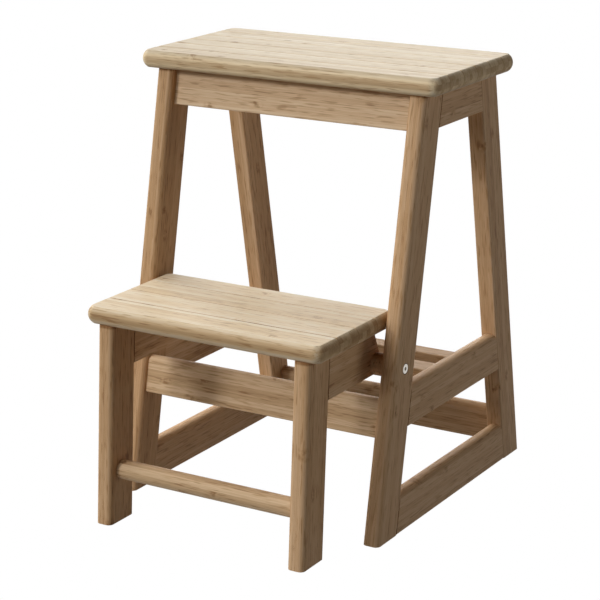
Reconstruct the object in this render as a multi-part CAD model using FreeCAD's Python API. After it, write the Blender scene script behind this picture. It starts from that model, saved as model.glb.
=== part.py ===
import FreeCAD, Part
import math
import os

# Folding step stool in solid bamboo: a fixed seat frame and a lower step that swings up into it.
# Millimetres, +Z up, the step stands out towards -Y. Left and right are as seen from the step.
# The origin is on the floor under the middle of the whole footprint.

# Whole stool
overall_height = 500.0
base_depth = 361.3
step_reach = 98.0
frame_width = 341.0

# Seat board
seat_width = 377.4
seat_depth = 197.2
seat_thickness = 19.5
seat_strips = 6

# Legs of the seat frame
leg_thickness = 20.0
leg_width = 43.0
leg_lean_deg = 10.84
leg_outer_rounding = 6.0
leg_inner_rounding = 2.0

# Rails of the two side frames, flush with the outer faces of the legs
side_rail_thickness = 18.0
top_rounding_share = 0.44
rail_edge_rounding = 1.5
top_rail_height = 41.0
middle_rail_height = 45.4
slat_top_in_middle_rail = 28.0
bottom_rail_height = 45.4

# Aprons and crossbars between the two side frames
apron_thickness = 18.0
apron_height = 41.5
apron_recess = 11.5
front_crossbar_base = 113.9
front_crossbar_height = 41.3
front_crossbar_thickness = 16.0
front_crossbar_recess = 6.0
rear_crossbar_base = 12.5
rear_crossbar_height = 45.2
rear_crossbar_thickness = 18.0
rear_crossbar_recess = 4.0

# Slats that the folded step lies on
fold_angle_deg = 170.0
fold_clearance = 0.6
slat_setback = 115.0
front_slat_width = 30.0
rear_slat_width = 23.0
slat_gap = 27.0
slat_thickness = 12.0

# Step
step_height = 247.2
step_board_side_gap = 1.5
step_board_depth = 163.0
step_board_thickness = 19.5
step_strips = 4
step_front_overhang = 4.0
step_frame_width = 267.4
step_leg_thickness = 20.0
step_leg_width = 43.0
step_leg_lean_deg = 3.4
step_leg_rounding = 6.0
step_rail_thickness = 20.0
step_rail_end_radius = 11.6
step_rail_end_slant_deg = 24.0
foot_bar_radius = 11.0
foot_bar_height = 59.9
foot_bar_seat_depth = 12.0

# Edges and grooves of both boards
board_corner_radius = 12.0
board_edge_bulge = 5.3
groove_width = 2.4
groove_depth = 1.8

# Pivot of the step
pivot_height = 188.0
spacer_radius = 12.5
sleeve_radius = 4.5
sleeve_head_radius = 8.0
sleeve_head_thickness = 1.6
sleeve_reach_in_leg = 8.0
bolt_radius = 3.0
bolt_thread_length = 22.0
bolt_head_radius = 5.4
bolt_head_thickness = 4.0
bolt_head_gap = 0.9
hex_key_across_flats = 4.0
hex_key_depth = 2.4
running_clearance = 0.05
side_clearance = 0.3

# Loose tenons that hold the joints, each in a mortise that is a little longer
tenon_thickness = 6.0
tenon_length = 30.0
tenon_depth_in_leg = 12.0
tenon_depth_in_board = 10.0
tenon_width_share = 0.5
board_tenon_width = 20.0
fit_clearance = 0.05
end_gap = 1.0
seat_tenon_share = 0.17
step_tenon_front_share = 0.40
step_tenon_rear_share = 0.75

# Derived places
overall_depth = base_depth + step_reach
rear_foot_y = overall_depth / 2
front_foot_y = rear_foot_y - base_depth
step_foot_y = -overall_depth / 2
base_middle_y = (rear_foot_y + front_foot_y) / 2
seat_underside = overall_height - seat_thickness
leg_slope = math.tan(math.radians(leg_lean_deg))
step_leg_slope = math.tan(math.radians(step_leg_lean_deg))
frame_outer_x = frame_width / 2
frame_inner_x = frame_outer_x - leg_thickness
side_rail_middle_x = frame_outer_x - side_rail_thickness / 2
side_rail_top_rounding = top_rounding_share * side_rail_thickness
step_board_length = 2 * (frame_inner_x - step_board_side_gap)
step_outer_x = step_frame_width / 2
step_leg_inner_x = step_outer_x - step_leg_thickness
step_rail_inner_x = step_outer_x - step_rail_thickness
step_rail_middle_x = step_outer_x - step_rail_thickness / 2
step_underside = step_height - step_board_thickness
pivot_y = front_foot_y + leg_slope * pivot_height + leg_width / 2
step_rail_base = pivot_height - step_rail_end_radius

sides = {"left": -1, "right": 1}


def point(x, y, z):
    return FreeCAD.Vector(x, y, z)


def turned(angle):
    """Unit vector in the plane X = 0, turned by an angle from +Y towards +Z."""
    return point(0, math.cos(angle), math.sin(angle))


def front_leg_front(z):
    """Y of the front face of the front legs at height z."""
    return front_foot_y + leg_slope * z


def front_leg_back(z):
    """Y of the rear face of the front legs at height z."""
    return front_leg_front(z) + leg_width


def rear_leg_back(z):
    """Y of the rear face of the rear legs at height z."""
    return rear_foot_y - leg_slope * z


def rear_leg_front(z):
    """Y of the front face of the rear legs at height z."""
    return rear_leg_back(z) - leg_width


def step_leg_front(z):
    """Y of the front face of the step's legs at height z."""
    return step_foot_y + step_leg_slope * z


def step_leg_back(z):
    """Y of the rear face of the step's legs at height z."""
    return step_leg_front(z) + step_leg_width


def rounded_corner(before, corner, after, radius):
    """Start point, arc and end point of a rounding between two straight sides."""
    to_before = (before - corner).normalize()
    to_after = (after - corner).normalize()
    half_angle = to_before.getAngle(to_after) / 2
    setback = radius / math.tan(half_angle)
    start = corner + to_before * setback
    end = corner + to_after * setback
    middle_direction = (to_before + to_after).normalize()
    middle = corner + middle_direction * (radius / math.sin(half_angle) - radius)
    return start, Part.Arc(start, middle, end).toShape(), end


def rounded_polygon(corners, radii):
    """Flat face through the corners, each corner rounded by its own radius."""
    count = len(corners)
    arcs = []
    for index in range(count):
        before = corners[index - 1]
        after = corners[(index + 1) % count]
        arcs.append(rounded_corner(before, corners[index], after, radii[index]))
    edges = []
    for index in range(count):
        edges.append(arcs[index][1])
        run_start = arcs[index][2]
        run_end = arcs[(index + 1) % count][0]
        edges.append(Part.LineSegment(run_start, run_end).toShape())
    return Part.Face(Part.Wire(edges))


def mirrored(shape, side):
    """The shape itself on the right, its mirror image on the left."""
    if side > 0:
        return shape
    return shape.mirror(point(0, 0, 0), point(1, 0, 0))


def rod(start, direction, radius, length):
    return Part.makeCylinder(radius, length, start, direction)


def write(name, shape):
    shape.exportStep(os.path.join("parts", name + ".step"))
    print(name, len(shape.Solids), "solids", round(shape.Volume / 1000, 2), "cm3")


# Boards

def bulged_section(centre, across, half_width, thickness):
    """Section of a board whose two edges bulge out as shallow arcs."""
    flat = half_width - board_edge_bulge
    up = point(0, 0, thickness)
    low_near = centre - across * flat
    low_far = centre + across * flat
    far_middle = centre + across * half_width + up / 2
    near_middle = centre - across * half_width + up / 2
    edges = [Part.LineSegment(low_near, low_far).toShape(),
             Part.Arc(low_far, far_middle, low_far + up).toShape(),
             Part.LineSegment(low_far + up, low_near + up).toShape(),
             Part.Arc(low_near + up, near_middle, low_near).toShape()]
    return Part.Face(Part.Wire(edges))


def bulged_corner(centre, across, thickness):
    """Quarter turn of the same edge about an upright line, from across onwards."""
    flat = board_corner_radius - board_edge_bulge
    up = point(0, 0, thickness)
    low_far = centre + across * flat
    middle = centre + across * board_corner_radius + up / 2
    edges = [Part.LineSegment(centre, low_far).toShape(),
             Part.Arc(low_far, middle, low_far + up).toShape(),
             Part.LineSegment(low_far + up, centre + up).toShape(),
             Part.LineSegment(centre + up, centre).toShape()]
    return Part.Face(Part.Wire(edges)).revolve(centre, point(0, 0, 1), 90)


def board(length, depth, thickness, middle_y, top_z, strips):
    """Board with bulging edges all round and shallow V grooves between its strips."""
    base_z = top_z - thickness
    inner_x = length / 2 - board_corner_radius
    inner_y = depth / 2 - board_corner_radius
    long_start = point(-inner_x, middle_y, base_z)
    long_section = bulged_section(long_start, point(0, 1, 0), depth / 2, thickness)
    cross_start = point(0, middle_y - inner_y, base_z)
    cross_section = bulged_section(cross_start, point(1, 0, 0), length / 2, thickness)
    blank = long_section.extrude(point(2 * inner_x, 0, 0))
    others = [cross_section.extrude(point(0, 2 * inner_y, 0))]
    for toward_x, toward_y, across in [(1, 1, point(1, 0, 0)), (-1, 1, point(0, 1, 0)),
                                       (-1, -1, point(-1, 0, 0)), (1, -1, point(0, -1, 0))]:
        centre = point(toward_x * inner_x, middle_y + toward_y * inner_y, base_z)
        others.append(bulged_corner(centre, across, thickness))
    blank = blank.fuse(others).removeSplitter()
    strip_width = depth / strips
    grooves = []
    for number in range(1, strips):
        groove_y = middle_y - depth / 2 + number * strip_width
        grooves.append(groove(length, groove_y, top_z))
    return blank.cut(grooves)


def groove(length, groove_y, top_z):
    """Cutter with a V section, twice as wide and deep as the groove, along X."""
    half = groove_width
    bottom = point(-length, groove_y, top_z - groove_depth)
    left = point(-length, groove_y - half, top_z + groove_depth)
    right = point(-length, groove_y + half, top_z + groove_depth)
    outline = Part.makePolygon([bottom, right, left, bottom])
    return Part.Face(outline).extrude(point(2 * length, 0, 0))


def make_seat_board():
    return board(seat_width, seat_depth, seat_thickness, base_middle_y, overall_height, seat_strips)


step_board_front = step_leg_front(step_underside) - step_front_overhang
step_board_middle_y = step_board_front + step_board_depth / 2


def make_step_board():
    return board(step_board_length, step_board_depth, step_board_thickness,
                 step_board_middle_y, step_height, step_strips)


# Legs

def leg(inner_x, outer_x, front_y, width, slope, height, front_rounding, back_rounding):
    """Leaning leg with a level foot and top, its section rounded along the edges."""
    corners = [point(inner_x, front_y, 0), point(outer_x, front_y, 0),
               point(outer_x, front_y + width, 0), point(inner_x, front_y + width, 0)]
    radii = [front_rounding, front_rounding, back_rounding, back_rounding]
    section = rounded_polygon(corners, radii)
    return section.extrude(point(0, slope * height, height))


def make_front_leg(side):
    shape = leg(frame_inner_x, frame_outer_x, front_leg_front(0), leg_width, leg_slope,
                seat_underside, leg_outer_rounding, leg_inner_rounding)
    return mirrored(shape, side)


def make_rear_leg(side):
    shape = leg(frame_inner_x, frame_outer_x, rear_leg_front(0), leg_width, -leg_slope,
                seat_underside, leg_inner_rounding, leg_outer_rounding)
    return mirrored(shape, side)


def make_step_leg(side):
    shape = leg(step_leg_inner_x, step_outer_x, step_leg_front(0), step_leg_width, step_leg_slope,
                step_underside, step_leg_rounding, leg_inner_rounding)
    return mirrored(shape, side)


# Places of the slats, and of the middle side rails that carry them

def folded_tread_height(y):
    """Height of the tread of the folded step, which then faces down, at a given Y."""
    turn = math.radians(fold_angle_deg)
    tread_distance = step_height - pivot_height
    return pivot_height + (tread_distance - (y - pivot_y) * math.sin(turn)) / math.cos(turn)


front_slat_y = pivot_y + slat_setback
rear_slat_y = front_slat_y + front_slat_width + slat_gap
slat_top = folded_tread_height(front_slat_y) - fold_clearance
slat_inner_x = frame_outer_x - side_rail_thickness
middle_rail_base = slat_top - slat_top_in_middle_rail
middle_rail_top = middle_rail_base + middle_rail_height


# Rails of the side frames

def side_rail(low_z, high_z, top_rounding):
    """Rail along Y, its ends cut to the slope of the legs that it stands between."""
    inner_x = frame_outer_x - side_rail_thickness
    start_y = front_leg_front(0)
    corners = [point(inner_x, start_y, low_z), point(frame_outer_x, start_y, low_z),
               point(frame_outer_x, start_y, high_z), point(inner_x, start_y, high_z)]
    radii = [rail_edge_rounding, rail_edge_rounding, top_rounding, top_rounding]
    beam = rounded_polygon(corners, radii).extrude(point(0, base_depth, 0))
    space = [point(0, front_leg_back(low_z), low_z), point(0, rear_leg_front(low_z), low_z),
             point(0, rear_leg_front(high_z), high_z), point(0, front_leg_back(high_z), high_z)]
    outline = Part.makePolygon(space + space[:1])
    return beam.common(Part.Face(outline).extrude(point(frame_width, 0, 0)))


def make_top_side_rail(side):
    shape = side_rail(seat_underside - top_rail_height, seat_underside, rail_edge_rounding)
    return mirrored(shape, side)


def make_middle_side_rail(side):
    return mirrored(side_rail(middle_rail_base, middle_rail_top, side_rail_top_rounding), side)


def make_bottom_side_rail(side):
    return mirrored(side_rail(0, bottom_rail_height, side_rail_top_rounding), side)


# Aprons, crossbars and slats

def crossbar(front_y, slope, low_z, high_z, thickness, top_rounding):
    """Bar along X between the side frames, leaning with the legs."""
    rise = slope * (high_z - low_z)
    corners = [point(-frame_inner_x, front_y, low_z),
               point(-frame_inner_x, front_y + thickness, low_z),
               point(-frame_inner_x, front_y + thickness + rise, high_z),
               point(-frame_inner_x, front_y + rise, high_z)]
    radii = [rail_edge_rounding, rail_edge_rounding, top_rounding, top_rounding]
    return rounded_polygon(corners, radii).extrude(point(2 * frame_inner_x, 0, 0))


apron_base = seat_underside - apron_height
front_apron_y = front_leg_front(apron_base) + apron_recess
rear_apron_y = rear_leg_back(apron_base) - apron_recess - apron_thickness
front_crossbar_y = front_leg_front(front_crossbar_base) + front_crossbar_recess
rear_crossbar_y = rear_leg_back(rear_crossbar_base) - rear_crossbar_recess - rear_crossbar_thickness


def make_front_apron():
    return crossbar(front_apron_y, leg_slope, apron_base, seat_underside, apron_thickness,
                    rail_edge_rounding)


def make_rear_apron():
    return crossbar(rear_apron_y, -leg_slope, apron_base, seat_underside, apron_thickness,
                    rail_edge_rounding)


def make_front_crossbar():
    high_z = front_crossbar_base + front_crossbar_height
    return crossbar(front_crossbar_y, leg_slope, front_crossbar_base, high_z,
                    front_crossbar_thickness, top_rounding_share * front_crossbar_thickness)


def make_rear_crossbar():
    high_z = rear_crossbar_base + rear_crossbar_height
    return crossbar(rear_crossbar_y, -leg_slope, rear_crossbar_base, high_z,
                    rear_crossbar_thickness, top_rounding_share * rear_crossbar_thickness)


def slat(front_y, width):
    """Flat slat between the middle side rails."""
    low_z = slat_top - slat_thickness
    corners = [point(-slat_inner_x, front_y, low_z), point(-slat_inner_x, front_y + width, low_z),
               point(-slat_inner_x, front_y + width, slat_top), point(-slat_inner_x, front_y, slat_top)]
    section = rounded_polygon(corners, [rail_edge_rounding] * len(corners))
    return section.extrude(point(2 * slat_inner_x, 0, 0))


def make_front_slat():
    return slat(front_slat_y, front_slat_width)


def make_rear_slat():
    return slat(rear_slat_y, rear_slat_width)


# Step frame

def make_step_side_rail(side):
    """Rail under the step board whose rear end is rounded about the pivot."""
    slant = math.radians(step_rail_end_slant_deg)
    start_x = step_rail_inner_x
    front_low = point(start_x, step_leg_back(step_rail_base), step_rail_base)
    front_high = point(start_x, step_leg_back(step_underside), step_underside)
    centre = point(start_x, pivot_y, pivot_height)
    arc_start = centre - point(0, 0, step_rail_end_radius)
    straight_down = -math.pi / 2
    arc_middle = centre + turned(straight_down / 2 + slant / 2) * step_rail_end_radius
    arc_end = centre + turned(slant) * step_rail_end_radius
    climb = step_underside - arc_end.z
    rear_high = arc_end + point(0, -climb * math.tan(slant), climb)
    edges = [Part.LineSegment(front_low, arc_start).toShape(),
             Part.Arc(arc_start, arc_middle, arc_end).toShape(),
             Part.LineSegment(arc_end, rear_high).toShape(),
             Part.LineSegment(rear_high, front_high).toShape(),
             Part.LineSegment(front_high, front_low).toShape()]
    shape = Part.Face(Part.Wire(edges)).extrude(point(step_rail_thickness, 0, 0))
    bore = rod(centre, point(1, 0, 0), sleeve_radius + running_clearance, step_rail_thickness)
    return mirrored(shape.cut(bore), side)


foot_bar_y = step_leg_front(foot_bar_height) + step_leg_width / 2


def make_foot_bar():
    """Round bar whose ends sit in blind holes in the step's legs."""
    half_length = step_leg_inner_x + foot_bar_seat_depth
    return rod(point(-half_length, foot_bar_y, foot_bar_height), point(1, 0, 0),
               foot_bar_radius, 2 * half_length)


def foot_bar_hole():
    half_length = step_leg_inner_x + foot_bar_seat_depth + end_gap
    return rod(point(-half_length, foot_bar_y, foot_bar_height), point(1, 0, 0),
               foot_bar_radius + fit_clearance, 2 * half_length)


# Pivot hardware, right side first and mirrored for the left

spacer_inner_x = step_outer_x + side_clearance
sleeve_tip_x = frame_inner_x + sleeve_reach_in_leg


def make_spacer(side):
    """Wooden disc between the leg and the step's side rail, bored for the sleeve."""
    start = point(spacer_inner_x, pivot_y, pivot_height)
    disc = rod(start, point(1, 0, 0), spacer_radius, frame_inner_x - spacer_inner_x)
    bore = rod(start, point(1, 0, 0), sleeve_radius + fit_clearance, frame_inner_x - spacer_inner_x)
    return mirrored(disc.cut(bore), side)


def make_sleeve(side):
    """Flanged sleeve nut that the step turns on."""
    head_x = step_rail_inner_x - side_clearance - sleeve_head_thickness
    axis = point(1, 0, 0)
    head = rod(point(head_x, pivot_y, pivot_height), axis, sleeve_head_radius, sleeve_head_thickness)
    barrel = rod(point(head_x, pivot_y, pivot_height), axis, sleeve_radius, sleeve_tip_x - head_x)
    thread_x = bolt_tip_x() - end_gap
    thread = rod(point(thread_x, pivot_y, pivot_height), axis, bolt_radius + fit_clearance,
                 sleeve_tip_x - thread_x)
    return mirrored(head.fuse(barrel).cut(thread), side)


def bolt_tip_x():
    return sleeve_tip_x - bolt_thread_length


def make_pivot_bolt(side):
    """Bolt with a low round head and a hexagonal key hole, flush with the leg."""
    axis = point(1, 0, 0)
    tip = point(bolt_tip_x(), pivot_y, pivot_height)
    shank = rod(tip, axis, bolt_radius, frame_outer_x - bolt_head_thickness - tip.x)
    head_start = point(frame_outer_x - bolt_head_thickness, pivot_y, pivot_height)
    head = rod(head_start, axis, bolt_head_radius, bolt_head_thickness)
    key_start = point(frame_outer_x - hex_key_depth, pivot_y, pivot_height)
    key_hole = hexagon(key_start, hex_key_across_flats).extrude(point(hex_key_depth, 0, 0))
    return mirrored(shank.fuse(head).cut(key_hole), side)


def hexagon(centre, across_flats):
    corner_count = 6
    turn = 2 * math.pi / corner_count
    corner_radius = across_flats / 2 / math.cos(turn / 2)
    corners = []
    for number in range(corner_count):
        corners.append(centre + turned(number * turn) * corner_radius)
    return Part.Face(Part.makePolygon(corners + corners[:1]))


def pivot_hole(side):
    """Hole through the front leg: sleeve from inside, bolt, and a counterbore for the head."""
    axis = point(1, 0, 0)
    inner = point(frame_inner_x, pivot_y, pivot_height)
    sleeve_part = rod(inner, axis, sleeve_radius + fit_clearance, sleeve_reach_in_leg + end_gap)
    through = rod(inner, axis, bolt_radius + fit_clearance, leg_thickness)
    head_start = point(frame_outer_x - bolt_head_thickness, pivot_y, pivot_height)
    head_part = rod(head_start, axis, bolt_head_radius + bolt_head_gap, bolt_head_thickness)
    return mirrored(sleeve_part.fuse(through).fuse(head_part), side)


# Tenons: each place is the middle of one end, the way it points, its wide direction and width

def tenon(place, clearance, gap):
    """Flat tenon, or with a clearance and a gap the mortises that it fills."""
    start, direction, wide, width = place
    narrow = direction.cross(wide)
    half_wide = wide * (width / 2 + clearance)
    half_narrow = narrow * (tenon_thickness / 2 + clearance)
    corner = start - direction * gap
    corners = [corner - half_wide - half_narrow, corner + half_wide - half_narrow,
               corner + half_wide + half_narrow, corner - half_wide + half_narrow]
    outline = Part.makePolygon(corners + corners[:1])
    return Part.Face(outline).extrude(direction * (tenon_length + 2 * gap))


def side_tenons(side):
    """Places of the tenons between the rails of one side frame and its legs."""
    spans = [(0, bottom_rail_height), (middle_rail_base, middle_rail_top),
             (seat_underside - top_rail_height, seat_underside)]
    places = []
    for low_z, high_z in spans:
        z = (low_z + high_z) / 2
        width = tenon_width_share * (high_z - low_z)
        x = side * side_rail_middle_x
        front = point(x, front_leg_back(z) - tenon_depth_in_leg, z)
        rear = point(x, rear_leg_front(z) + tenon_depth_in_leg, z)
        places.append((front, point(0, 1, 0), point(0, 0, 1), width))
        places.append((rear, point(0, -1, 0), point(0, 0, 1), width))
    return places


def bar_tenons(front_y, slope, low_z, high_z, thickness):
    """Places of the tenons at both ends of a leaning crossbar."""
    z = (low_z + high_z) / 2
    y = front_y + slope * (z - low_z) + thickness / 2
    lean = point(0, slope, 1).normalize()
    width = tenon_width_share * (high_z - low_z)
    places = []
    for side in sides.values():
        start = point(side * (frame_inner_x + tenon_depth_in_leg), y, z)
        places.append((start, point(-side, 0, 0), lean, width))
    return places


def crossbar_tenons():
    front_high = front_crossbar_base + front_crossbar_height
    rear_high = rear_crossbar_base + rear_crossbar_height
    places = bar_tenons(front_apron_y, leg_slope, apron_base, seat_underside, apron_thickness)
    places += bar_tenons(rear_apron_y, -leg_slope, apron_base, seat_underside, apron_thickness)
    places += bar_tenons(front_crossbar_y, leg_slope, front_crossbar_base, front_high,
                         front_crossbar_thickness)
    places += bar_tenons(rear_crossbar_y, -leg_slope, rear_crossbar_base, rear_high,
                         rear_crossbar_thickness)
    return places


def slat_tenons():
    """Places of the level tenons at the ends of the two slats."""
    z = slat_top - slat_thickness / 2
    places = []
    for front_y, slat_width in [(front_slat_y, front_slat_width), (rear_slat_y, rear_slat_width)]:
        for side in sides.values():
            start = point(side * (slat_inner_x + tenon_depth_in_leg), front_y + slat_width / 2, z)
            places.append((start, point(-side, 0, 0), point(0, 1, 0), tenon_width_share * slat_width))
    return places


def seat_tenons():
    """Places of the upright tenons between the top side rails and the seat board."""
    top_z = seat_underside + tenon_depth_in_board
    rail_length = rear_leg_front(seat_underside) - front_leg_back(seat_underside)
    places = []
    for side in sides.values():
        for toward_y in sides.values():
            y = base_middle_y + toward_y * seat_tenon_share * rail_length
            start = point(side * side_rail_middle_x, y, top_z)
            places.append((start, point(0, 0, -1), point(0, 1, 0), board_tenon_width))
    return places


def step_tenons():
    """Places of the tenons of the step: rail to leg, and rail to board."""
    places = []
    rail_front = step_leg_back(step_underside)
    z = (step_rail_base + step_underside) / 2
    width = tenon_width_share * (step_underside - step_rail_base)
    for side in sides.values():
        x = side * step_rail_middle_x
        start = point(x, step_leg_back(z) - tenon_depth_in_leg, z)
        places.append((start, point(0, 1, 0), point(0, 0, 1), width))
        for share in [step_tenon_front_share, step_tenon_rear_share]:
            y = rail_front + share * (pivot_y - rail_front)
            start = point(x, y, step_underside + tenon_depth_in_board)
            places.append((start, point(0, 0, -1), point(0, 1, 0), board_tenon_width))
    return places


def tenons(places):
    """The tenons themselves, as one group of separate solids."""
    return Part.makeCompound([tenon(place, 0, 0) for place in places])


def mortises(places):
    return [tenon(place, fit_clearance, end_gap) for place in places]


def cut_where_met(shape, cutters):
    """The shape less those cutters that reach into it."""
    near = [cutter for cutter in cutters if cutter.BoundBox.intersect(shape.BoundBox)]
    if not near:
        return shape
    return shape.cut(near)


def main():
    os.makedirs("parts", exist_ok=True)
    tenon_groups = {"side_tenons_left": side_tenons(-1), "side_tenons_right": side_tenons(1),
                    "crossbar_tenons": crossbar_tenons(), "slat_tenons": slat_tenons(),
                    "seat_tenons": seat_tenons()}
    frame_mortises = []
    for places in tenon_groups.values():
        frame_mortises += mortises(places)
    frame_pieces = {"seat_board": make_seat_board(), "front_apron": make_front_apron(),
                    "rear_apron": make_rear_apron(), "front_crossbar": make_front_crossbar(),
                    "rear_crossbar": make_rear_crossbar(), "front_slat": make_front_slat(),
                    "rear_slat": make_rear_slat()}
    step_cutters = mortises(step_tenons()) + [foot_bar_hole()]
    step_pieces = {"step_board": make_step_board()}
    for name, side in sides.items():
        frame_pieces["front_leg_" + name] = make_front_leg(side).cut(pivot_hole(side))
        frame_pieces["rear_leg_" + name] = make_rear_leg(side)
        frame_pieces["top_side_rail_" + name] = make_top_side_rail(side)
        frame_pieces["middle_side_rail_" + name] = make_middle_side_rail(side)
        frame_pieces["bottom_side_rail_" + name] = make_bottom_side_rail(side)
        step_pieces["step_leg_" + name] = make_step_leg(side)
        step_pieces["step_side_rail_" + name] = make_step_side_rail(side)
        write("pivot_spacer_" + name, make_spacer(side))
        write("pivot_sleeve_" + name, make_sleeve(side))
        write("pivot_bolt_" + name, make_pivot_bolt(side))
    for name, shape in frame_pieces.items():
        write(name, cut_where_met(shape, frame_mortises))
    for name, shape in step_pieces.items():
        write(name, cut_where_met(shape, step_cutters))
    write("step_foot_bar", make_foot_bar())
    for name, places in tenon_groups.items():
        write(name, tenons(places))
    write("step_tenons", tenons(step_tenons()))


main()
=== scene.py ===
import math
import bpy
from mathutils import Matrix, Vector


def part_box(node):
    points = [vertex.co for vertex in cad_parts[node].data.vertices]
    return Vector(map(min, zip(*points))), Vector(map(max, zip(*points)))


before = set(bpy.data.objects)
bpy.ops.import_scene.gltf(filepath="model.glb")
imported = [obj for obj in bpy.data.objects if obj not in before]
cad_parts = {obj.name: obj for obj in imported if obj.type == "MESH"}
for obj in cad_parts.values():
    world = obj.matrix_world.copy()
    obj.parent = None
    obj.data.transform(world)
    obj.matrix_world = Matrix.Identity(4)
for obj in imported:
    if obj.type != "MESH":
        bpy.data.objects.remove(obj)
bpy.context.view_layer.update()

# Folding step stool in solid bamboo. Metres, in the CAD frame: +Z up, the step stands out towards -Y.
# The shapes are all in the frame. This script gives the materials, the light and the camera.

# Camera, solved from the straight edges of the photographed stool
camera_place = (1.13072, -1.92282, 0.87751)
camera_azimuth = 31.150
camera_elevation = 16.313
camera_roll = 0.087
camera_reach = 50.0
focal_length = 121.96
sensor_width = 36.0
shift_x = 0.0340
shift_y = -0.00542

# Lights: azimuth round the stool from the front towards +X, elevation, strength and softness in
# degrees. Together they are one broad soft light from the left, fitted to the photographed tones,
# with smaller lights in front that draw the shadow edges.
suns = [
    ("sun_left", -120.0, 38.0, 1.385, 30.0),
    ("sun_back_low", -160.0, 8.0, 0.734, 30.0),
    ("sun_side", -80.0, 38.0, 0.666, 30.0),
    ("sun_front", -30.0, 26.0, 0.609, 12.0),
    ("sun_front_right", -10.0, 26.0, 0.446, 12.0),
    ("sun_front_low", -30.0, 12.0, 0.309, 12.0),
    ("sun_front_high", -30.0, 42.0, 0.291, 12.0),
    ("sun_high", -50.0, 68.0, 0.440, 30.0),
    ("sun_right_back_low", 120.0, 8.0, 0.450, 30.0),
]

# Floor: its glow is the light that a white floor throws up on the stool
floor_size = 14.0
floor_drop = 0.0002
floor_glow = 0.098
floor_bounce = 0.10

# Sizes in the wood, with the legs' leans in degrees. A board is a row of strips with grooves between,
# and each strip is glued up from laminae. Rails and crossbars are one layer thick.
front_leg_lean = 10.84
step_leg_lean = 3.4
seat_depth = 0.1972
seat_strips = 6
step_depth = 0.163
step_strips = 4
laminae_per_strip = 5
board_layer = 0.0065
leg_strip = 0.010
thin_strip = 0.0067
rail_layer = 0.018
groove_half_width = 0.0013
groove_bottom_share = 0.3
node_spacing = 0.31

# Where the wood meets a board above it. A dark line of painted shadow, the board's shadow on the piece,
# comes in between two depths below that.
seat_underside = 0.4805
step_underside = 0.2277
leg_painted_shadow = (0.0045, 0.0020)
apron_painted_shadow = (0.0090, 0.0055)

# Noise in the wood: cells per metre along and across the grain, seed, detail and roughness
broad_noise = (1.6, 70.0, 0.0, 2.0, 0.5)
line_noise = (7.0, 520.0, 4.0, 3.0, 0.7)
dash_noise = (42.0, 480.0, 7.0, 1.0, 0.5)
fibre_noise = (45.0, 1500.0, 9.0, 1.0, 0.5)
mark_noise = (150.0, 170.0, 2.0, 2.0, 0.5)

# Noise in the end grain: cells per metre along the grain, across the strips and through them
end_cells = (60.0, 1300.0, 420.0)
end_seed = 6.0
end_detail = 2.0
end_unevenness = 0.5

# Differences between pieces and between strips
seed_step = 1.37
seed_spread = (1.0, 1.7, 0.6)
strip_shift = 3.1
node_shift = 7.0
unmarked_share = 0.62

# Noise values between which dashes, node marks and glue lines come in
dash_range = (0.55, 0.70)
mark_range = (0.36, 0.64)
glue_range = (0.35, 0.55)

# Distances from their middle lines between which node marks and glue lines fade out
mark_reach = (0.001, 0.010)
glue_reach = (0.00010, 0.00045)

# How squarely a surface looks along the grain, down, or up or down, where the end grain and the
# underside's painted shade come in and the painted light and shade of the edges fades out
end_facing = (0.55, 0.85)
painted_underside_facing = (0.50, 0.95)
flat_facing = (0.35, 0.85)

# How far each detail moves the wood between its dark and pale colours, which are at 0 and 1
plain_level = 0.60
tone_contrast = 0.24
broad_contrast = 0.55
line_contrast = 0.85
fibre_contrast = 0.32
dash_depth = 0.32
mark_depth = 0.45
glue_depth = 0.14
groove_shade = 0.26
painted_underside_shade = 0.40
painted_shadow_depth = 0.50
end_level = 0.20
end_tone_contrast = 0.40
end_dot_contrast = 0.60

# Dark, middle and pale wood of the legs and side rails, of the pieces across, of the aprons, of the
# slats and the rear crossbar, and of the two boards. Those of the pieces across, the aprons and the step
# board are lighter as painted light, those of the slats and the rear crossbar darker as painted shade.
frame_tones = ((0.300, 0.145, 0.058), (0.575, 0.350, 0.178), (0.800, 0.555, 0.345))
cross_painted_light_tones = ((0.340, 0.185, 0.085), (0.630, 0.425, 0.240), (0.860, 0.650, 0.430))
apron_painted_light_tones = ((0.370, 0.210, 0.105), (0.710, 0.490, 0.295), (0.930, 0.745, 0.525))
back_painted_shade_tones = ((0.240, 0.120, 0.050), (0.470, 0.290, 0.150), (0.680, 0.470, 0.290))
seat_tones = ((0.390, 0.262, 0.152), (0.655, 0.530, 0.360), (0.825, 0.755, 0.635))
step_painted_light_tones = ((0.500, 0.330, 0.185), (0.840, 0.665, 0.440), (0.970, 0.900, 0.760))

# Tint of the boards' edges, where the strips show their sides: painted light on the seat's edges, painted
# shade on the step's
seat_edge_painted_light = (1.300, 1.270, 1.180)
step_edge_painted_shade = (0.780, 0.695, 0.590)

# Satin varnish
wood_roughness = 0.42
line_roughness = 0.16
end_roughness = 0.20
wood_specular = 0.08
fibre_relief = 0.35
line_relief = 0.60
dash_relief = -0.50
wood_bump = {"Strength": 0.35, "Distance": 0.0003}

# Zinc plated steel
steel_tones = ((0.44, 0.41, 0.37), (0.66, 0.63, 0.57))
steel_noise = {"Scale": 900.0, "Detail": 3.0}
steel_roughness = 0.22
steel_unevenness = 0.25
steel_bump = {"Strength": 0.15, "Distance": 0.0001}

along_x = (1.0, 0.0, 0.0)
along_y = (0.0, 1.0, 0.0)
along_z = (0.0, 0.0, 1.0)


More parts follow.
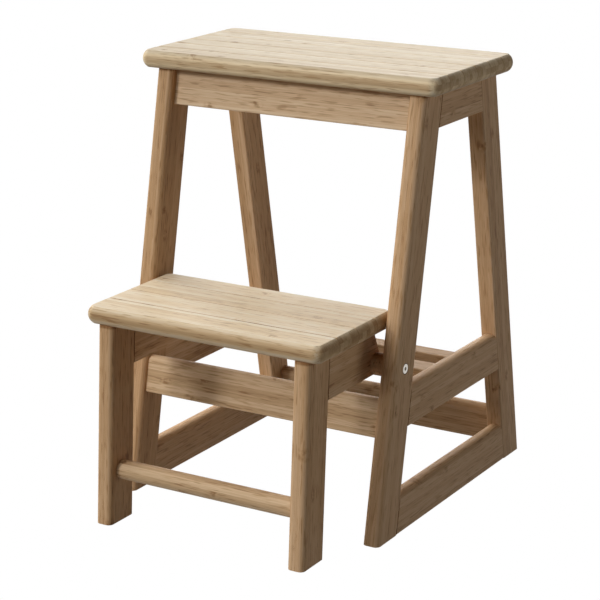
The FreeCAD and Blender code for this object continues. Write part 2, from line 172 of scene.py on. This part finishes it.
def node(tree, kind, inputs=(), **settings):
    """New shader node with its settings and inputs, which are values or other nodes' outputs."""
    made = tree.nodes.new(kind)
    for key, value in settings.items():
        setattr(made, key, value)
    for key, value in dict(inputs).items():
        if isinstance(value, bpy.types.NodeSocket):
            tree.links.new(value, made.inputs[key])
        else:
            made.inputs[key].default_value = value
    return made


def new_material(name):
    """Material without nodes, and its node tree."""
    material = bpy.data.materials.new(name)
    material.use_nodes = True
    material.node_tree.nodes.clear()
    return material, material.node_tree


def show(tree, shader, kind="ShaderNodeOutputMaterial"):
    """Link a shader to the tree's output."""
    tree.links.new(shader, node(tree, kind).inputs[0])


def calc(tree, operation, first, second=0.0, third=0.0):
    """Math node's output."""
    made = node(tree, "ShaderNodeMath", {0: first, 1: second, 2: third}, operation=operation)
    return made.outputs[0]


def scaled(tree, value, factor, base=0.0):
    """value x factor + base."""
    return calc(tree, "MULTIPLY_ADD", value, factor, base)


def from_half(tree, value):
    return calc(tree, "SUBTRACT", value, 0.5)


def dot(tree, vector, direction):
    made = node(tree, "ShaderNodeVectorMath", {0: vector, 1: direction}, operation="DOT_PRODUCT")
    return made.outputs["Value"]


def join(tree, x, y, z):
    return node(tree, "ShaderNodeCombineXYZ", {0: x, 1: y, 2: z}).outputs[0]


def fall(tree, value, near, far):
    """1 where value is below near, 0 where it is above far, smooth between."""
    made = node(tree, "ShaderNodeMapRange", {"Value": value, "From Min": near, "From Max": far,
                                            "To Min": 1.0, "To Max": 0.0},
                interpolation_type="SMOOTHSTEP")
    return made.outputs["Result"]


def rise(tree, value, near, far):
    """0 where value is below near, 1 where it is above far, smooth between."""
    return calc(tree, "SUBTRACT", 1.0, fall(tree, value, near, far))


def streaks(tree, place, seed, detail, roughness):
    """Noise between 0 and 1 at a place that is already stretched."""
    shift = tuple(seed * share for share in seed_spread)
    shifted = node(tree, "ShaderNodeVectorMath", {0: place, 1: shift}, operation="ADD")
    made = node(tree, "ShaderNodeTexNoise", {"Vector": shifted.outputs[0], "Scale": 1.0, "Detail": detail,
                                            "Roughness": roughness}, noise_dimensions="3D")
    return made.outputs["Fac"]


def stretched(tree, u, v, w, seed, along, across, own_seed, detail, roughness):
    """Noise in wood whose grain runs along u."""
    place = join(tree, scaled(tree, u, along), scaled(tree, v, across), scaled(tree, w, across))
    return streaks(tree, place, seed + own_seed, detail, roughness)


def colours(tree, level, tones):
    """Dark, middle and pale colour at the levels 0, 0.5 and 1."""
    ramp = node(tree, "ShaderNodeValToRGB", {0: level})
    ramp.color_ramp.elements[0].position = 0.0
    ramp.color_ramp.elements[0].color = (*tones[0], 1.0)
    ramp.color_ramp.elements[1].position = 1.0
    ramp.color_ramp.elements[1].color = (*tones[2], 1.0)
    middle = ramp.color_ramp.elements.new(0.5)
    middle.color = (*tones[1], 1.0)
    return ramp.outputs[0]


def bamboo(name, grain, wide, strip, thick, origin, seed, tones=frame_tones, groove_pitch=None, top=None,
           board_shadow=leg_painted_shadow, painted_edge_tint=None):
    """Laminated bamboo: strips of their own tone, long fibres, node marks and end grain.

    A piece that meets a board above it has a painted shadow, a dark line below the height top.
    A board has grooves with painted shade in them, painted shade on its underside and a tint of painted
    light and shade on its edges instead."""
    material, tree = new_material(name)
    grain = Vector(grain).normalized()
    wide = Vector(wide).normalized()
    coords = node(tree, "ShaderNodeTexCoord")
    place = node(tree, "ShaderNodeVectorMath", {0: coords.outputs["Object"], 1: origin},
                 operation="SUBTRACT").outputs[0]
    u = dot(tree, place, grain)
    v = dot(tree, place, wide)
    w = dot(tree, place, grain.cross(wide))

    strip_share = calc(tree, "DIVIDE", v, strip)
    strip_number = calc(tree, "FLOOR", strip_share)
    layer_number = calc(tree, "FLOOR", calc(tree, "DIVIDE", w, thick))
    cell = node(tree, "ShaderNodeTexWhiteNoise", {"Vector": join(tree, strip_number, layer_number, seed)},
                noise_dimensions="3D")
    tone = from_half(tree, cell.outputs["Value"])
    other = node(tree, "ShaderNodeSeparateColor", {0: cell.outputs["Color"]})

    # Each strip has its own stretch of fibres
    u_strip = scaled(tree, other.outputs[0], strip_shift, u)
    broad = stretched(tree, u_strip, v, w, seed, *broad_noise)
    lines = stretched(tree, u_strip, v, w, seed, *line_noise)
    dashes = rise(tree, stretched(tree, u_strip, v, w, seed, *dash_noise), *dash_range)
    fibres = stretched(tree, u_strip, v, w, seed, *fibre_noise)

    # Node marks, one in some strips every 300 mm or so, each a soft dark smudge
    mark_phase = calc(tree, "FRACT", scaled(tree, u, 1 / node_spacing,
                                            scaled(tree, other.outputs[1], node_shift)))
    mark_far = scaled(tree, calc(tree, "ABSOLUTE", from_half(tree, mark_phase)), node_spacing)
    spots = rise(tree, stretched(tree, u, v, w, seed, *mark_noise), *mark_range)
    mark = calc(tree, "MULTIPLY", fall(tree, mark_far, *mark_reach), spots)
    mark = calc(tree, "MULTIPLY", mark, calc(tree, "GREATER_THAN", other.outputs[2], unmarked_share))

    # Glue lines between strips, broken here and there
    from_strip_middle = calc(tree, "ABSOLUTE", from_half(tree, calc(tree, "FRACT", strip_share)))
    edge_far = scaled(tree, calc(tree, "SUBTRACT", 0.5, from_strip_middle), strip)
    glue = calc(tree, "MULTIPLY", fall(tree, edge_far, *glue_reach), rise(tree, lines, *glue_range))

    # End grain where the surface looks along the fibres
    facing = calc(tree, "ABSOLUTE", dot(tree, coords.outputs["Normal"], grain))
    end = rise(tree, facing, *end_facing)
    end_place = join(tree, *[scaled(tree, part, cells) for part, cells in zip((u, v, w), end_cells)])
    dots = streaks(tree, end_place, seed + end_seed, end_detail, end_unevenness)

    level = scaled(tree, tone, tone_contrast, plain_level)
    level = scaled(tree, from_half(tree, broad), broad_contrast, level)
    level = scaled(tree, from_half(tree, lines), line_contrast, level)
    level = scaled(tree, from_half(tree, fibres), fibre_contrast, level)
    level = scaled(tree, dashes, -dash_depth, level)
    level = scaled(tree, mark, -mark_depth, level)
    level = scaled(tree, glue, -glue_depth, level)
    level_at_end = scaled(tree, from_half(tree, dots), end_dot_contrast,
                          scaled(tree, tone, end_tone_contrast, end_level))
    level = node(tree, "ShaderNodeMix", {0: end, 2: level, 3: level_at_end}, data_type="FLOAT").outputs[0]
    if groove_pitch:
        groove_phase = calc(tree, "FRACT", scaled(tree, v, 1 / groove_pitch, 0.5))
        groove_far = scaled(tree, calc(tree, "ABSOLUTE", from_half(tree, groove_phase)), groove_pitch)
        groove = fall(tree, groove_far, groove_half_width * groove_bottom_share, groove_half_width)
        level = scaled(tree, groove, -groove_shade, level)
    if painted_edge_tint:
        # Painted shade: the boards' undersides are darker
        down = scaled(tree, dot(tree, coords.outputs["Normal"], along_z), -1.0)
        level = scaled(tree, rise(tree, down, *painted_underside_facing), -painted_underside_shade, level)
    # Painted shadow of the board above: the wood darkens just below the board's underside
    if top:
        height = dot(tree, coords.outputs["Object"], along_z)
        in_board_shadow = rise(tree, height, top - board_shadow[0], top - board_shadow[1])
        level = scaled(tree, in_board_shadow, -painted_shadow_depth, level)

    colour = colours(tree, level, tones)
    # Painted light and shade on the boards' upright edges, as a tint of their colour
    if painted_edge_tint:
        upright = calc(tree, "ABSOLUTE", dot(tree, coords.outputs["Normal"], along_z))
        colour = node(tree, "ShaderNodeMix", {0: fall(tree, upright, *flat_facing), 6: colour,
                                              7: (*painted_edge_tint, 1.0)},
                      data_type="RGBA", blend_type="MULTIPLY", clamp_result=True).outputs[2]

    roughness = scaled(tree, lines, line_roughness, scaled(tree, end, end_roughness, wood_roughness))
    relief = scaled(tree, fibres, fibre_relief, scaled(tree, lines, line_relief, scaled(
        tree, dashes, dash_relief)))
    bump = node(tree, "ShaderNodeBump", {**wood_bump, "Height": relief})
    shader = node(tree, "ShaderNodeBsdfPrincipled", {"Base Color": colour, "Roughness": roughness,
                                                    "Normal": bump.outputs[0],
                                                    "Specular IOR Level": wood_specular})
    show(tree, shader.outputs[0])
    return material


def steel(name):
    """Zinc plated steel, finely mottled."""
    material, tree = new_material(name)
    coords = node(tree, "ShaderNodeTexCoord")
    noise = node(tree, "ShaderNodeTexNoise", {"Vector": coords.outputs["Object"], **steel_noise})
    mottle = noise.outputs["Fac"]
    colour = node(tree, "ShaderNodeMix", {0: mottle, 6: (*steel_tones[0], 1.0), 7: (*steel_tones[1], 1.0)},
                  data_type="RGBA")
    bump = node(tree, "ShaderNodeBump", {**steel_bump, "Height": mottle})
    roughness = scaled(tree, mottle, steel_unevenness, steel_roughness)
    shader = node(tree, "ShaderNodeBsdfPrincipled", {"Base Color": colour.outputs[2], "Metallic": 1.0,
                                                    "Roughness": roughness, "Normal": bump.outputs[0]})
    show(tree, shader.outputs[0])
    return material


def lean(degrees):
    """Direction of a leg that leans this far back from upright."""
    return (0.0, math.tan(math.radians(degrees)), 1.0)


def wood_for(name, number):
    """The bamboo of one CAD node, with the grain along the piece."""
    label = "bamboo_" + name
    low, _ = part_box(name)
    shared = {"origin": tuple(low), "seed": number * seed_step}
    if name == "seat_board":
        strip = seat_depth / seat_strips
        return bamboo(label, along_x, along_y, strip / laminae_per_strip, board_layer,
                      tones=seat_tones, groove_pitch=strip, painted_edge_tint=seat_edge_painted_light, **shared)
    # The step board's lighter tones are painted light, its darker edges painted shade
    if name == "step_board":
        strip = step_depth / step_strips
        return bamboo(label, along_x, along_y, strip / laminae_per_strip, board_layer,
                      tones=step_painted_light_tones, groove_pitch=strip, painted_edge_tint=step_edge_painted_shade, **shared)
    if name.startswith("pivot_spacer") or name == "seat_tenons":
        return bamboo(label, along_z, along_y, thin_strip, rail_layer, **shared)

    shared["top"] = step_underside if name.startswith("step") else seat_underside
    leans = {"front_leg": front_leg_lean, "rear_leg": -front_leg_lean, "step_leg": step_leg_lean}
    for start, degrees in leans.items():
        if name.startswith(start):
            return bamboo(label, lean(degrees), along_x, leg_strip, thin_strip, **shared)
    if "side_rail" in name or name.startswith("side_tenons"):
        return bamboo(label, along_y, along_z, thin_strip, rail_layer, **shared)
    # Painted light and shade: the pieces across and the aprons get lighter tones, the slats and the rear
    # crossbar darker ones
    tones = cross_painted_light_tones
    if name == "rear_crossbar" or "slat" in name:
        tones = back_painted_shade_tones
    if "apron" in name:
        tones = apron_painted_light_tones
    return bamboo(label, along_x, along_z, thin_strip, rail_layer, tones=tones, board_shadow=apron_painted_shadow,
                  **shared)


steel_material = steel("zinc_plated_steel")
for number, name in enumerate(sorted(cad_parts)):
    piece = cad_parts[name]
    if name.startswith(("pivot_bolt", "pivot_sleeve")):
        material = steel_material
    else:
        material = wood_for(name, number)
    if not piece.material_slots:
        piece.data.materials.append(material)
    for slot in piece.material_slots:
        slot.link = "OBJECT"
        slot.material = material


# Floor, world and lights

def seen(tree):
    """1 for rays that see the background: from the camera, and by reflection or through glass."""
    path = node(tree, "ShaderNodeLightPath")
    reflected = calc(tree, "MAXIMUM", path.outputs["Is Glossy Ray"], path.outputs["Is Transmission Ray"])
    return calc(tree, "MAXIMUM", path.outputs["Is Camera Ray"], reflected)


def grey(value):
    return (value, value, value, 1.0)


floor_material, tree = new_material("pale_floor")
paint = node(tree, "ShaderNodeBsdfDiffuse", {"Color": grey(floor_bounce)})
glow = node(tree, "ShaderNodeEmission", {"Color": grey(1.0), "Strength": floor_glow})
lit = node(tree, "ShaderNodeAddShader", {0: paint.outputs[0], 1: glow.outputs[0]})
white = node(tree, "ShaderNodeEmission", {"Color": grey(1.0), "Strength": 1.0})
mixed = node(tree, "ShaderNodeMixShader", {0: seen(tree), 1: lit.outputs[0], 2: white.outputs[0]})
show(tree, mixed.outputs[0])
bpy.ops.mesh.primitive_plane_add(size=floor_size, location=(0.0, 0.0, -floor_drop))
floor = bpy.context.object
floor.name = "floor"
floor.data.materials.append(floor_material)

world = bpy.data.worlds.new("studio")
world.use_nodes = True
bpy.context.scene.world = world
tree = world.node_tree
tree.nodes.clear()
dark = node(tree, "ShaderNodeBackground", {"Color": grey(0.0), "Strength": 0.0})
white = node(tree, "ShaderNodeBackground", {"Color": grey(1.0), "Strength": 1.0})
mixed = node(tree, "ShaderNodeMixShader", {0: seen(tree), 1: dark.outputs[0], 2: white.outputs[0]})
show(tree, mixed.outputs[0], "ShaderNodeOutputWorld")

for name, azimuth, elevation, strength, softness in suns:
    data = bpy.data.lights.new(name, "SUN")
    data.energy = strength
    data.angle = math.radians(softness)
    lamp = bpy.data.objects.new(name, data)
    bpy.context.scene.collection.objects.link(lamp)
    lamp.rotation_euler = (math.radians(90.0 - elevation), 0.0, math.radians(azimuth))

camera_data = bpy.data.cameras.new("camera")
camera_data.sensor_width = sensor_width
camera_data.lens = focal_length
camera_data.shift_x = shift_x
camera_data.shift_y = shift_y
camera_data.clip_end = camera_reach
camera = bpy.data.objects.new("camera", camera_data)
camera.location = camera_place
camera.rotation_euler = (math.radians(90.0 - camera_elevation), math.radians(camera_roll),
                         math.radians(camera_azimuth))
bpy.context.scene.collection.objects.link(camera)
bpy.context.scene.camera = camera
bpy.context.scene.view_settings.view_transform = "Standard"
